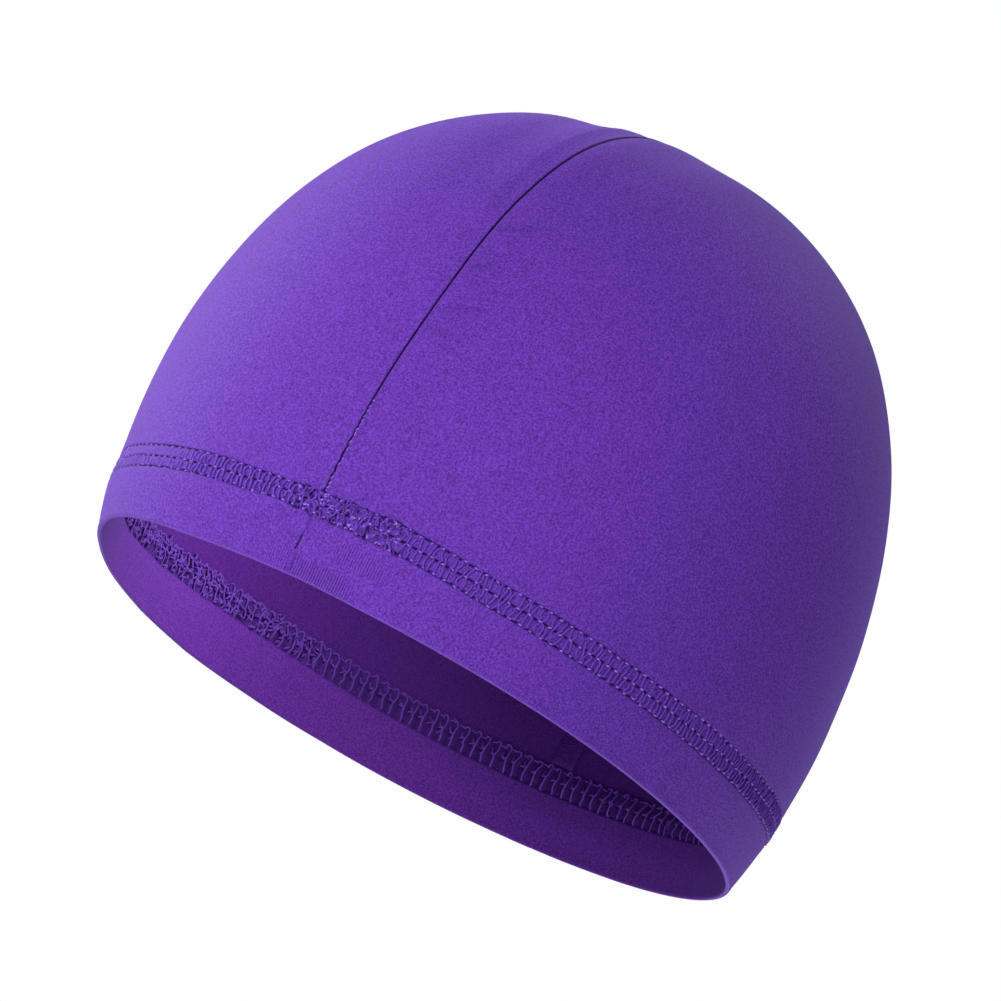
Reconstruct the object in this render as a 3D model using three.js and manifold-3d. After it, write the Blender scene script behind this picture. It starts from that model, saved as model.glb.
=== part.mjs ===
// Cycling skull cap: a dome of two stretch jersey panels on a hem band of doubled cloth.
// Millimetres, +Z up. The origin is the centre of the head opening in the plane of the rim,
// the front faces -Y and the wearer's left is +X.
import * as THREE from 'three';
import { mergeVertices } from 'three/addons/utils/BufferGeometryUtils.js';
import Module from 'manifold-3d';

// Cloth
const clothThickness = 1.1;
const layerGap = 0.3; // air between two layers, and between two edges that meet

// Dome, as it stands on a head 56 cm round
const bulgeHeight = 31.6; // the middle of the vertical profile, above the rim plane
const profileRadius = 115; // from that middle up to the top of the crown
const backFullness = 10; // how far the back of the head pushes the cloth out
const rimSquareness = 0.017; // share by which the rim fills its four corners
const rimTwist = 0.5; // rise and fall of the rim between its four corners
const rimEffectLevel = 0.5; // above this level the dome no longer follows the rim

// A section for each level from the rim, 0, to the top of the crown, 1. The dome's half width and
// half length there are these radii times the cosine of the vertical profile's angle.
const sections = [
  { level: 0, widthRadius: 83, lengthRadius: 99.5, backward: 0 },
  { level: 0.3, widthRadius: 89, lengthRadius: 95, backward: -5.1 },
  { level: 0.55, widthRadius: 95, lengthRadius: 97, backward: -5.7 },
  { level: 0.8, widthRadius: 102.5, lengthRadius: 106, backward: -1 },
  { level: 1, widthRadius: 105, lengthRadius: 109.5, backward: 1.9 },
];

// Seams, as heights along the cloth above the rim
const flatSeamBottom = 14.2;
const flatSeamTop = 20.1;
const allowanceWidth = 6; // of the centre seam's turned edges, pressed to the wearer's right
const allowanceLap = 0.6; // how far they lie under the other panel

// Faceting
const segments = 72; // round the head
const crownRows = 20; // from the flat seam to the top
const foldSteps = 6; // round the fold at the rim
const hemRows = 3; // along each layer of the hem
const arcStep = 0.5; // along the cloth, where a height on it is looked up

const front = -Math.PI / 2;
const joinHeight = (flatSeamBottom + flatSeamTop) / 2; // crown and hem meet in the middle of their seam
const rimAngle = -Math.asin(bulgeHeight / profileRadius);

// The value of a column of the sections at any level, on one smooth curve through all of its rows
function sectionValue(column, level) {
  let value = 0;
  for (const row of sections) {
    let share = 1;
    for (const other of sections) {
      if (other !== row) share *= (level - other.level) / (row.level - other.level);
    }
    value += row[column] * share;
  }
  return value;
}

// A point on the outside of the cap. The angle goes round from the wearer's left, 0, to the back.
function outerPoint(angle, level) {
  const profile = THREE.MathUtils.lerp(rimAngle, Math.PI / 2, level);
  const rimEffect = Math.max(0, 1 - level / rimEffectLevel) ** 2;
  const corner = 1 + rimSquareness * rimEffect * Math.sin(2 * angle) ** 2;
  const reach = Math.cos(profile) * corner;
  const fullness = (Math.sin(Math.PI * level) * Math.max(0, Math.sin(angle))) ** 2;
  return new THREE.Vector3(
    sectionValue('widthRadius', level) * reach * Math.cos(angle),
    sectionValue('lengthRadius', level) * reach * Math.sin(angle)
      + sectionValue('backward', level) + backFullness * fullness,
    bulgeHeight + profileRadius * Math.sin(profile) + rimTwist * rimEffect * Math.sin(2 * angle),
  );
}

// A point of the cloth at a depth below the outside
function clothPoint(angle, level, depth) {
  const step = 0.001;
  const point = outerPoint(angle, level);
  if (level >= 1) return point.setZ(point.z - depth);
  const along = outerPoint(angle + step, level).sub(outerPoint(angle - step, level));
  const up = outerPoint(angle, level + step).sub(point);
  const outward = along.cross(up).normalize();
  return point.addScaledVector(outward, -depth);
}

// The level at a height along the cloth above the rim
function levelAtHeight(angle, height) {
  const levelStep = arcStep / (profileRadius * (Math.PI / 2 - rimAngle));
  let level = 0;
  let travelled = 0;
  let last = outerPoint(angle, 0);
  while (travelled < height) {
    const next = outerPoint(angle, level + levelStep);
    const piece = next.distanceTo(last);
    if (travelled + piece >= height) return level + levelStep * (height - travelled) / piece;
    travelled += piece;
    level += levelStep;
    last = next;
  }
  return level;
}

function angleOf(segment) {
  return front + (2 * Math.PI * segment) / segments;
}

function closedSolid(points, triangles) {
  const geometry = new THREE.BufferGeometry();
  geometry.setAttribute('position', new THREE.Float32BufferAttribute(points.flatMap((p) => p.toArray()), 3));
  geometry.setIndex(triangles);
  return geometry;
}

// Two triangles for each four corners between neighbouring rings, or stretches of one ring
function joinRings(triangles, lower, upper) {
  for (let i = 0; i < segments; i += 1) {
    const j = (i + 1) % segments;
    triangles.push(lower + i, lower + j, upper + j, lower + i, upper + j, upper + i);
  }
}

// A dome of cloth between two depths, open below, from a height along the cloth up to the top
function domeShell(bottomHeight, outerDepth, innerDepth) {
  const points = [];
  const triangles = [];
  const bottoms = Array.from({ length: segments }, (_, i) => levelAtHeight(angleOf(i), bottomHeight));
  for (const depth of [outerDepth, innerDepth]) {
    for (let row = 0; row < crownRows; row += 1) {
      bottoms.forEach((bottom, i) => {
        points.push(clothPoint(angleOf(i), THREE.MathUtils.lerp(bottom, 1, row / crownRows), depth));
      });
    }
    points.push(clothPoint(front, 1, depth));
  }
  const outerTop = crownRows * segments;
  const innerStart = outerTop + 1;
  const innerTop = innerStart + outerTop;
  for (let row = 0; row < crownRows - 1; row += 1) {
    joinRings(triangles, row * segments, (row + 1) * segments);
    joinRings(triangles, innerStart + (row + 1) * segments, innerStart + row * segments);
  }
  const lastRow = (crownRows - 1) * segments;
  for (let i = 0; i < segments; i += 1) {
    const j = (i + 1) % segments;
    triangles.push(lastRow + i, lastRow + j, outerTop);
    triangles.push(innerStart + lastRow + j, innerStart + lastRow + i, innerTop);
  }
  joinRings(triangles, innerStart, 0);
  return closedSolid(points, triangles);
}

// The hem's section as heights and depths, from the outer layer's top edge down to the rim,
// up the inner layer, and back through the slit between the layers
function hemSection() {
  const innerDepth = 2 * clothThickness + layerGap;
  const fold = innerDepth / 2;
  const section = [];
  const outerTop = joinHeight - layerGap / 2;
  for (let i = 0; i < hemRows; i += 1) {
    section.push([THREE.MathUtils.lerp(outerTop, fold, i / hemRows), 0]);
  }
  for (let i = 0; i <= foldSteps; i += 1) {
    const turn = (Math.PI * i) / foldSteps;
    section.push([fold - fold * Math.sin(turn), fold - fold * Math.cos(turn)]);
  }
  for (let i = 1; i <= hemRows; i += 1) {
    section.push([THREE.MathUtils.lerp(fold, flatSeamTop, i / hemRows), innerDepth]);
  }
  for (let i = 0; i <= hemRows; i += 1) {
    section.push([THREE.MathUtils.lerp(flatSeamTop, fold, i / hemRows), clothThickness + layerGap]);
  }
  for (let i = 0; i <= hemRows; i += 1) {
    section.push([THREE.MathUtils.lerp(fold, outerTop, i / hemRows), clothThickness]);
  }
  return section;
}

function hemBand() {
  const section = hemSection();
  const points = [];
  const triangles = [];
  for (const [height, depth] of section) {
    for (let i = 0; i < segments; i += 1) {
      points.push(clothPoint(angleOf(i), levelAtHeight(angleOf(i), height), depth));
    }
  }
  section.forEach((_, row) => {
    joinRings(triangles, ((row + 1) % section.length) * segments, row * segments);
  });
  return closedSolid(points, triangles);
}

// A block from one x to another that takes in the whole cap
function blockBetween(lowX, highX) {
  const reach = 4 * profileRadius;
  const block = new THREE.BoxGeometry(highX - lowX, reach, reach);
  return block.translate((lowX + highX) / 2, 0, 0);
}

const wasm = await Module();
wasm.setup();

function toManifold(geometry) {
  const bare = geometry.clone();
  bare.deleteAttribute('normal');
  bare.deleteAttribute('uv');
  const merged = mergeVertices(bare);
  return new wasm.Manifold(new wasm.Mesh({
    numProp: 3,
    vertProperties: new Float32Array(merged.attributes.position.array),
    triVerts: new Uint32Array(merged.index.array),
  }));
}

// The stretch of a solid between two values of x
function cutBetween(geometry, lowX, highX) {
  const cut = toManifold(geometry).intersect(toManifold(blockBetween(lowX, highX))).getMesh();
  const result = new THREE.BufferGeometry();
  result.setAttribute('position', new THREE.Float32BufferAttribute(cut.vertProperties, 3));
  result.setIndex(Array.from(cut.triVerts));
  return result;
}

const jersey = { color: 0x5f33b4, roughness: 0.85, metalness: 0 };
const shadedJersey = { color: 0x4a2496, roughness: 0.9, metalness: 0 };

function piece(name, geometry, finish) {
  geometry.computeVertexNormals();
  const mesh = new THREE.Mesh(geometry, new THREE.MeshStandardMaterial(finish));
  mesh.name = name;
  return mesh;
}

const crown = domeShell(joinHeight + layerGap / 2, 0, clothThickness);
const allowanceDepth = clothThickness + layerGap;
const turnedEdges = domeShell(flatSeamTop + layerGap, allowanceDepth, allowanceDepth + clothThickness);
const seamSide = layerGap / 2;

const cap = new THREE.Group();
cap.add(piece('crown_panel_left', cutBetween(crown, seamSide, 2 * profileRadius), jersey));
cap.add(piece('crown_panel_right', cutBetween(crown, -2 * profileRadius, -seamSide), jersey));
cap.add(piece('hem_band', hemBand(), jersey));
cap.add(piece('seam_allowance', cutBetween(turnedEdges, allowanceLap - allowanceWidth, allowanceLap), shadedJersey));

export default cap;
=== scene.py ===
"""A cycling skull cap of purple stretch jersey: its cloth, seams and threads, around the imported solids."""
import math

import bmesh
import bpy
import numpy as np
from mathutils import Matrix, Vector


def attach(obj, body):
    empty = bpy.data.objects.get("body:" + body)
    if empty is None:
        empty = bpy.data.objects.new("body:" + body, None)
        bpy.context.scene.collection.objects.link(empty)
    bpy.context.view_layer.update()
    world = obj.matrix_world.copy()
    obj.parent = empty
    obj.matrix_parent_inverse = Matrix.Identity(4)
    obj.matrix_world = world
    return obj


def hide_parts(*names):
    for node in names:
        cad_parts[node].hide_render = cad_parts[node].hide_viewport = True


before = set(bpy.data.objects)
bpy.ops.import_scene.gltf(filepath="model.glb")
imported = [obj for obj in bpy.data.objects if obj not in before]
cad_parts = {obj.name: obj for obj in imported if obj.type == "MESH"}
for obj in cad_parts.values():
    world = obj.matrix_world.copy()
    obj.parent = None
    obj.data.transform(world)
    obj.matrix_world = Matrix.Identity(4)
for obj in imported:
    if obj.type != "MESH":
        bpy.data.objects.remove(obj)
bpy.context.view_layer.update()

MM = 0.001  # every size below is in millimetres, and a mesh is in metres

# Cloth, as the solids have it
CLOTH = 1.1
LAYER_GAP = 0.3
HEM_THICKNESS = 2 * CLOTH + LAYER_GAP

# Dome, on a head 56 cm round
BULGE_HEIGHT = 31.6
PROFILE_RADIUS = 115.0
BACK_FULLNESS = 10.0
RIM_SQUARENESS = 0.017
RIM_TWIST = 0.5
RIM_EFFECT_LEVEL = 0.5
RIM_ANGLE = -math.asin(BULGE_HEIGHT / PROFILE_RADIUS)
SECTIONS = (
    {"level": 0.0, "width_radius": 83.0, "length_radius": 99.5, "backward": 0.0},
    {"level": 0.3, "width_radius": 89.0, "length_radius": 95.0, "backward": -5.1},
    {"level": 0.55, "width_radius": 95.0, "length_radius": 97.0, "backward": -5.7},
    {"level": 0.8, "width_radius": 102.5, "length_radius": 106.0, "backward": -1.0},
    {"level": 1.0, "width_radius": 105.0, "length_radius": 109.5, "backward": 1.9},
)

# Seams, as heights along the cloth above the rim
ROW_LOW = 14.2
ROW_HIGH = 20.1
ROW_MIDDLE = (ROW_LOW + ROW_HIGH) / 2
HALF_BAND = (ROW_HIGH - ROW_LOW) / 2
ROWS = (ROW_LOW, ROW_MIDDLE, ROW_HIGH)
STITCH = 2.87  # length of one stitch of the flat seam
# How far the flat seam's run is sewn over its own start, on each side of the centre seam
OVERLAP_BEFORE = 6.0
OVERLAP_AFTER = 22.0
ALLOWANCE_WIDTH = 6.0
ALLOWANCE_LAP = 0.6
OVERLOCK_STITCH = 2.5

FRONT = -math.pi / 2


# The dome's shape

def section_value(column, level):
    """A column of SECTIONS at any level, on one smooth curve through all of its rows."""
    value = 0.0
    for row in SECTIONS:
        share = 1.0
        for other in SECTIONS:
            if other is not row:
                share = share * (level - other["level"]) / (row["level"] - other["level"])
        value = value + row[column] * share
    return value


def outer_point(angle, level):
    """Points on the smooth outside of the cap. The angle goes round from the wearer's left to the back."""
    angle, level = np.broadcast_arrays(np.asarray(angle, float), np.asarray(level, float))
    profile = RIM_ANGLE + level * (math.pi / 2 - RIM_ANGLE)
    rim_effect = np.clip(1 - level / RIM_EFFECT_LEVEL, 0, None) ** 2
    corner = 1 + RIM_SQUARENESS * rim_effect * np.sin(2 * angle) ** 2
    reach = np.cos(profile) * corner
    fullness = (np.sin(math.pi * level) * np.clip(np.sin(angle), 0, None)) ** 2
    x = section_value("width_radius", level) * reach * np.cos(angle)
    y = section_value("length_radius", level) * reach * np.sin(angle)
    y = y + section_value("backward", level) + BACK_FULLNESS * fullness
    z = BULGE_HEIGHT + PROFILE_RADIUS * np.sin(profile) + RIM_TWIST * rim_effect * np.sin(2 * angle)
    return np.stack([x, y, z], -1)


def outward(angle, level):
    """The direction out of the cloth, at right angles to its smooth outside."""
    step = 1e-3
    level = np.minimum(level, 1 - 2 * step)
    along = outer_point(angle + step, level) - outer_point(angle - step, level)
    up = outer_point(angle, level + step) - outer_point(angle, level - step)
    out = np.cross(along, up)
    return out / np.linalg.norm(out, axis=-1, keepdims=True)


TABLE_LEVEL = 0.45  # the level up to which heights along the cloth are needed


class HeightTable:
    """Turns heights along the cloth above the rim into levels, and back, all round the cap."""

    def __init__(self, angles=361, levels=90, top_level=TABLE_LEVEL, top_height=90.0):
        self.angles = np.linspace(-math.pi, math.pi, angles)
        self.levels = np.linspace(0, top_level, levels)
        points = outer_point(self.angles[:, None], self.levels[None, :])
        steps = np.linalg.norm(np.diff(points, axis=1), axis=-1)
        self.height = np.concatenate([np.zeros((angles, 1)), np.cumsum(steps, 1)], 1)
        self.heights = np.linspace(0, top_height, levels)
        self.level = np.array([np.interp(self.heights, row, self.levels) for row in self.height])

    def read(self, table, columns, angle, value):
        """One of the two tables, between its points."""
        angle, value = np.broadcast_arrays(np.asarray(angle, float), np.asarray(value, float))
        turn = (angle + math.pi) % (2 * math.pi) / (2 * math.pi) * (len(self.angles) - 1)
        place = np.clip(value / columns[-1], 0, 1) * (len(columns) - 1)
        i = np.minimum(turn.astype(int), len(self.angles) - 2)
        j = np.minimum(place.astype(int), len(columns) - 2)
        u = turn - i
        v = place - j
        low = table[i, j] * (1 - u) + table[i + 1, j] * u
        high = table[i, j + 1] * (1 - u) + table[i + 1, j + 1] * u
        return low * (1 - v) + high * v

    def level_at(self, angle, height):
        """The level at a height along the cloth from the rim."""
        return self.read(self.level, self.heights, angle, height)

    def height_at(self, angle, level):
        """How far along the cloth from the rim a level is."""
        return self.read(self.height, self.levels, angle, level)


heights = HeightTable()

# How much higher the worn hem sits than an even ring, at the rim and at the three needle rows. The turn is in
# degrees from the wearer's left, and -90 is the front.
HEM_LIFTS = (
    {"turn": -172, "rim": -0.1, "low": -2.5, "middle": -2.4, "high": -2.7},
    {"turn": -160, "rim": 1.0, "low": -0.2, "middle": -0.7, "high": -0.9},
    {"turn": -140, "rim": 1.8, "low": -0.4, "middle": -0.8, "high": -1.1},
    {"turn": -128, "rim": 1.3, "low": -0.6, "middle": -0.95, "high": -1.25},
    {"turn": -113, "rim": 0.2, "low": 0.0, "middle": -0.55, "high": -0.7},
    {"turn": -104, "rim": 0.0, "low": 0.2, "middle": -0.25, "high": -0.7},
    {"turn": -97, "rim": 0.0, "low": 0.95, "middle": 0.4, "high": -0.55},
    {"turn": -88, "rim": 0.0, "low": 0.8, "middle": 0.5, "high": 0.0},
    {"turn": -76, "rim": -0.4, "low": 0.7, "middle": 0.7, "high": 0.9},
    {"turn": -60, "rim": -0.5, "low": 0.0, "middle": 0.0, "high": 0.0},
    {"turn": 10, "rim": -0.5, "low": 0.0, "middle": 0.0, "high": 0.0},
    {"turn": 70, "rim": -0.4, "low": 0.0, "middle": 0.0, "high": 0.0},
    {"turn": 90, "rim": -0.1, "low": 0.0, "middle": 0.0, "high": 0.0},
    {"turn": 130, "rim": -0.1, "low": 0.0, "middle": 0.0, "high": 0.0},
    {"turn": 145, "rim": -0.5, "low": -0.1, "middle": -0.1, "high": -0.1},
    {"turn": 160, "rim": -1.15, "low": -1.2, "middle": -1.1, "high": -1.1},
    {"turn": 174, "rim": -1.0, "low": -2.6, "middle": -2.5, "high": -2.8},
)
LIFT_ENDS = 45.0  # height where the crown is even again


def hem_lift(angle, height):
    """How much higher the cloth sits than an even ring, at any angle and height."""
    turns = [row["turn"] for row in HEM_LIFTS]
    knots = (0.0, ROW_LOW, ROW_MIDDLE, ROW_HIGH, LIFT_ENDS)
    lift = 0.0
    for place, column in enumerate(("rim", "low", "middle", "high")):
        value = np.interp(np.degrees(angle), turns, [row[column] for row in HEM_LIFTS], period=360)
        share = np.interp(height, knots, [1.0 if knot == place else 0.0 for knot in range(len(knots))])
        lift = lift + value * share
    return lift


def cloth_point(angle, level):
    """Points on the smooth outside of the worn cap, its hem uneven."""
    points = outer_point(angle, level)
    points[..., 2] += hem_lift(angle, heights.height_at(angle, level))
    return points


def round_the_seam(height=ROW_MIDDLE, steps=1440):
    """Angles round the cap from the front, and how far along the cloth each is, at one height."""
    angle = FRONT + np.linspace(0, 2 * math.pi, steps + 1)
    points = outer_point(angle, heights.level_at(angle, height))
    pieces = np.linalg.norm(np.diff(points, axis=0), axis=-1)
    return angle, np.concatenate([[0], np.cumsum(pieces)])


SEAM_ANGLES, SEAM_DISTANCES = round_the_seam()
SEAM_LENGTH = SEAM_DISTANCES[-1]
STITCHES = round(SEAM_LENGTH / STITCH)
PITCH = SEAM_LENGTH / STITCHES  # the stitch, so that a whole number goes round


def seam_angle(distance):
    """The angle at a distance along the flat seam from the front, to the wearer's left."""
    whole, part = np.divmod(distance, SEAM_LENGTH)
    return np.interp(part, SEAM_DISTANCES, SEAM_ANGLES) + 2 * math.pi * whole


def seam_distance(angle):
    """How far along the flat seam an angle is from the front."""
    turn = (np.asarray(angle) - FRONT) % (2 * math.pi) + FRONT
    return np.interp(turn, SEAM_ANGLES, SEAM_DISTANCES)


def beside_front(angle):
    """How far along the flat seam an angle is from the front, less than 0 on the wearer's right."""
    distance = seam_distance(angle)
    return np.where(distance < SEAM_LENGTH / 2, distance, distance - SEAM_LENGTH)


# Soft shapes for relief, which is in millimetres outward

def soft_step(value, low, high):
    """0 below low, 1 above high, and smooth between."""
    t = np.clip((value - low) / (high - low), 0, 1)
    return t * t * (3 - 2 * t)


def bell(value, middle, width):
    """1 at the middle, falling softly to 0 on both sides over about twice the width."""
    return np.exp(-(((value - middle) / width) ** 2))


def between(value, low, high, edge):
    """1 from low to high, falling softly to 0 over an edge at each end."""
    return soft_step(value, low - edge, low) * (1 - soft_step(value, high, high + edge))


def drift(points, wavelength, seed, waves=10):
    """A smooth uneven field over points, between about -1 and 1, whose waves are about one length."""
    rng = np.random.default_rng(seed)
    total = np.zeros(points.shape[:-1])
    for _ in range(waves):
        way = rng.normal(size=3)
        way /= np.linalg.norm(way)
        length = wavelength * rng.uniform(0.7, 1.5)
        total += np.cos(points @ way * (2 * math.pi / length) + rng.uniform(0, 2 * math.pi))
    return total / math.sqrt(waves)


# Relief that all layers of the cloth share

PULL = 0.85  # how far the flat seam draws the crown in above it, at most
PULL_HEIGHT = 22.0
PULL_BELOW = 6.0
PULL_ABOVE = 30.0


def seam_pull(angle, height):
    """The flat seam holds the crown in, more on the wearer's right than on the left."""
    reach = np.where(height < PULL_HEIGHT, PULL_BELOW, PULL_ABOVE)
    return -PULL * (0.75 - 0.25 * np.cos(angle)) * bell(height, PULL_HEIGHT, reach)


TOP_DIPS = (
    {"x": -14.0, "width": 7.5, "depth": 1.07},
    {"x": 12.0, "width": 8.0, "depth": 0.55},
    {"x": -2.5, "width": 3.5, "depth": 0.6},
)
EDGES_FROM = -8.8  # where the cloth begins to step up onto the turned edges
EDGES_STEP = 1.3  # width of that soft step, and how much nearer the seam it is low on the front
EDGES_RISE = 0.22
EDGES_RISE_BELOW = 0.1


def dips_over_the_top(points, level):
    """The dip on each side of the centre seam over the top, and the step up onto its turned edges."""
    x = points[..., 0]
    y = points[..., 1]
    dips = sum(-dip["depth"] * bell(x, dip["x"], dip["width"]) for dip in TOP_DIPS)
    step = EDGES_FROM + EDGES_STEP * (1 - soft_step(y, -55, -20))
    turned_edges = EDGES_RISE * soft_step(x, step, step + EDGES_STEP) * (1 - soft_step(x, -0.4, 0.4))
    more_in_front = 1 - 0.4 * soft_step(y, -20, 20)
    return (dips + turned_edges) * soft_step(level, 0.3, 0.75) * more_in_front


# Where the worn cap is fuller: a turn in degrees, how far round, and the heights between which it fades
FULL_PLACES = (
    {"turn": 25, "reach": 32, "fades": (22, 55)},
    {"turn": -158, "reach": 26, "fades": (8, 24)},
)
FLAT_PLACE = np.array([61.0, 18.0, 117.0])
FLAT_REACH = 30
SOFT_PLACE = 0.45  # how far the cloth stands out, or lies in, at such a place


def soft_places(points, angle, height):
    """Where the worn cap is a little fuller or flatter than its even form."""
    shape = -bell(np.linalg.norm(points - FLAT_PLACE, axis=-1), 0, FLAT_REACH)
    for place in FULL_PLACES:
        aside = (np.degrees(angle) - place["turn"] + 180) % 360 - 180
        shape = shape + bell(aside, 0, place["reach"]) * (1 - soft_step(height, *place["fades"]))
    return SOFT_PLACE * shape


def edges_below_the_top(points, level):
    """The turned edges show through faintly lower down too."""
    return EDGES_RISE_BELOW * between(points[..., 0], -5.4, -0.4, 1.2) * (1 - soft_step(level, 0.3, 0.6))


PUCKER_WIDTH = 1.1
PUCKER_SHADE = 0.24
PUCKERS = (
    {"x": 1.0, "z": 95.6, "end_x": 9.5, "end_z": 99.6, "depth": 0.6},
    {"x": 1.2, "z": 84.4, "end_x": 10.0, "end_z": 86.0, "depth": 0.5},
    {"x": 2.0, "z": 72.0, "end_x": 12.5, "end_z": 75.6, "depth": 0.5},
    {"x": 1.2, "z": 66.4, "end_x": 9.5, "end_z": 66.2, "depth": 0.5},
)


def pucker_waves(points):
    """For each pucker its depth, how far above its line the points lie, and how much of it there is there."""
    for row in PUCKERS:
        run = math.hypot(row["end_x"] - row["x"], row["end_z"] - row["z"])
        way_x = (row["end_x"] - row["x"]) / run
        way_z = (row["end_z"] - row["z"]) / run
        x = points[..., 0] - row["x"]
        z = points[..., 2] - row["z"]
        there = between(x * way_x + z * way_z, 1.0, run - 2.0, 2.0) * (points[..., 1] < 0)
        yield row["depth"], z * way_x - x * way_z, there


def seam_puckers(points):
    """Short creases that run from the centre seam over the wearer's left, on the front."""
    return sum(depth * above / PUCKER_WIDTH * bell(above, 0, PUCKER_WIDTH) * there
               for depth, above, there in pucker_waves(points))


def pucker_shade(points):
    """How little light reaches the bottom of those creases."""
    return sum(PUCKER_SHADE * bell(above, -0.6, 0.9) * there
               for depth, above, there in pucker_waves(points))


# Slow waves of the stretched cloth
STRETCH_WAVES = (
    {"height": 0.13, "length": 62, "seed": 11},
    {"height": 0.05, "length": 24, "seed": 12},
)


def cloth_relief(points, angle, level):
    """How far the cloth stands out from the smooth dome, on its outside and inside alike."""
    height = heights.height_at(angle, level)
    stretch = sum(wave["height"] * drift(points, wave["length"], wave["seed"]) for wave in STRETCH_WAVES)
    return (stretch + seam_pull(angle, height) + soft_places(points, angle, height)
            + dips_over_the_top(points, level) + edges_below_the_top(points, level) + seam_puckers(points))


# Relief of the flat seam on the outside

def pulled_tight(points):
    """1 on the wearer's right, where the flat seam's threads are pulled into the cloth."""
    return soft_step(-points[..., 0], 20, 50)


ROW_GROOVE = 0.24  # half the width of the groove that a needle row pulls
ROW_DEPTH = 0.55
BAND_HOLLOW = 0.25  # how deep the cloth lies between the rows
TIGHT_HOLLOW = 0.05
LUMP_HEIGHT = 0.22
PUFFED = 0.08  # how far the cloth swells beside the band


def crumple(points):
    """Where the run is sewn twice, the lumps of the cloth and threads, from about -1 to 1."""
    return drift(points, 1.6, 13, waves=14)


def in_overlap(angle, height):
    """1 where the flat seam's run is sewn twice."""
    along = between(beside_front(angle), -OVERLAP_BEFORE, OVERLAP_AFTER, 2.0)
    return along * between(height, ROW_LOW - 0.5, ROW_HIGH + 0.5, 0.4)


def band_relief(points, angle, height):
    """Three needle rows pinch the cloth, and where the run is sewn twice it is lumpy."""
    grooves = sum(bell(height, row, ROW_GROOVE) for row in ROWS)
    inside = between(height, ROW_LOW, ROW_HIGH, 0.5)
    puffed = bell(height, ROW_LOW - 1.5, 1.0) + bell(height, ROW_HIGH + 1.6, 1.1)
    lumps = LUMP_HEIGHT * crumple(points) * in_overlap(angle, height)
    hollow = BAND_HOLLOW - (BAND_HOLLOW - TIGHT_HOLLOW) * pulled_tight(points)
    return lumps - ROW_DEPTH * grooves - hollow * inside + PUFFED * puffed


def band_shade(points, angle, height):
    """How little light reaches the cloth where the run is sewn twice, from 0 to 1."""
    return np.clip(-0.9 * crumple(points), 0, 0.9) * in_overlap(angle, height)


# Heights of the three parts of the hem's joint: a ridge, an open slit, and a faint line up to where it ends
JOINT_RIDGE = (10.2, 13.2)
JOINT_OPEN = (6.0, 9.2)
JOINT_LINE_ENDS = (4.6, 5.4)
JOINT_TOP = 9.4  # height where the open slit leans from


def joint_slit(height):
    """How far beside the front the hem's joint runs in its open part."""
    return -0.2 - 0.1 * (JOINT_TOP - height)


def joint_relief(angle, height):
    """The hem's own joint at the front: a thin line that stands up, opens, and closes towards the rim."""
    aside = beside_front(angle)
    top = between(height, *JOINT_RIDGE, 0.6)
    ridge = 0.3 * bell(aside, 0.25, 0.17) - 0.22 * bell(aside, -0.15, 0.2)
    open_part = between(height, *JOINT_OPEN, 0.5)
    slit = -0.9 * bell(aside, joint_slit(height), 0.19)
    lip = 0.18 * bell(aside, joint_slit(height) + 0.45, 0.2)
    low = 1 - soft_step(height, *JOINT_LINE_ENDS)
    line = 0.2 + 0.08 * height
    low_line = 0.28 * bell(aside, line, 0.18) - 0.24 * bell(aside, line - 0.42, 0.2)
    spot = -0.6 * bell(aside, -0.9, 0.25) * bell(height, 1.1, 0.5)
    return top * ridge + open_part * (slit + lip) + low * low_line + spot


def joint_shade(angle, height):
    """Painted shade in the hem's joint: how dark it is in its open part, and more faintly beside its ridges.
    """
    aside = beside_front(angle)
    slit = between(height, *JOINT_OPEN, 0.5) * bell(aside, joint_slit(height), 0.2)
    top = 0.35 * between(height, *JOINT_RIDGE, 0.6) * bell(aside, -0.15, 0.18)
    low = 0.4 * (1 - soft_step(height, *JOINT_LINE_ENDS)) * bell(aside, -0.22 + 0.08 * height, 0.18)
    return slit + top + low


# The centre seam's line

SEAM_ROLL = 0.36  # radius on which each panel turns in at the centre seam


def seam_half_gap(level):
    """Half the width between the two panels, which opens a little over the top."""
    return 0.11 + 0.05 * soft_step(level, 0.3, 0.65)


def seam_roll(x):
    """How deep a panel's outside lies beside the centre seam, where its edge turns in."""
    away = np.clip(np.abs(x), 0, SEAM_ROLL)
    return -(SEAM_ROLL - np.sqrt(SEAM_ROLL ** 2 - (SEAM_ROLL - away) ** 2))


def seam_lip(points, side):
    """The wearer's left panel stands up a little along the seam low on the front."""
    low = 1 - soft_step(points[..., 2], 48, 60)
    return 0.16 * bell(points[..., 0], 0.62, 0.34) * low * (points[..., 1] < 0) * (side > 0)


def seam_wander(z):
    """How far to the wearer's left the centre seam runs on the front, at a height over the rim's plane.

    It was bulky to sew just above the flat seam, and higher up it bows a little."""
    waves = 0.12 * np.sin(2 * math.pi * z / 3.1 + 0.6) + 0.07 * np.sin(2 * math.pi * z / 1.9)
    return waves * (1 - soft_step(z, 32, 46)) + 0.5 * bell(z, 74, 16)


# Mesh making

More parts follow.
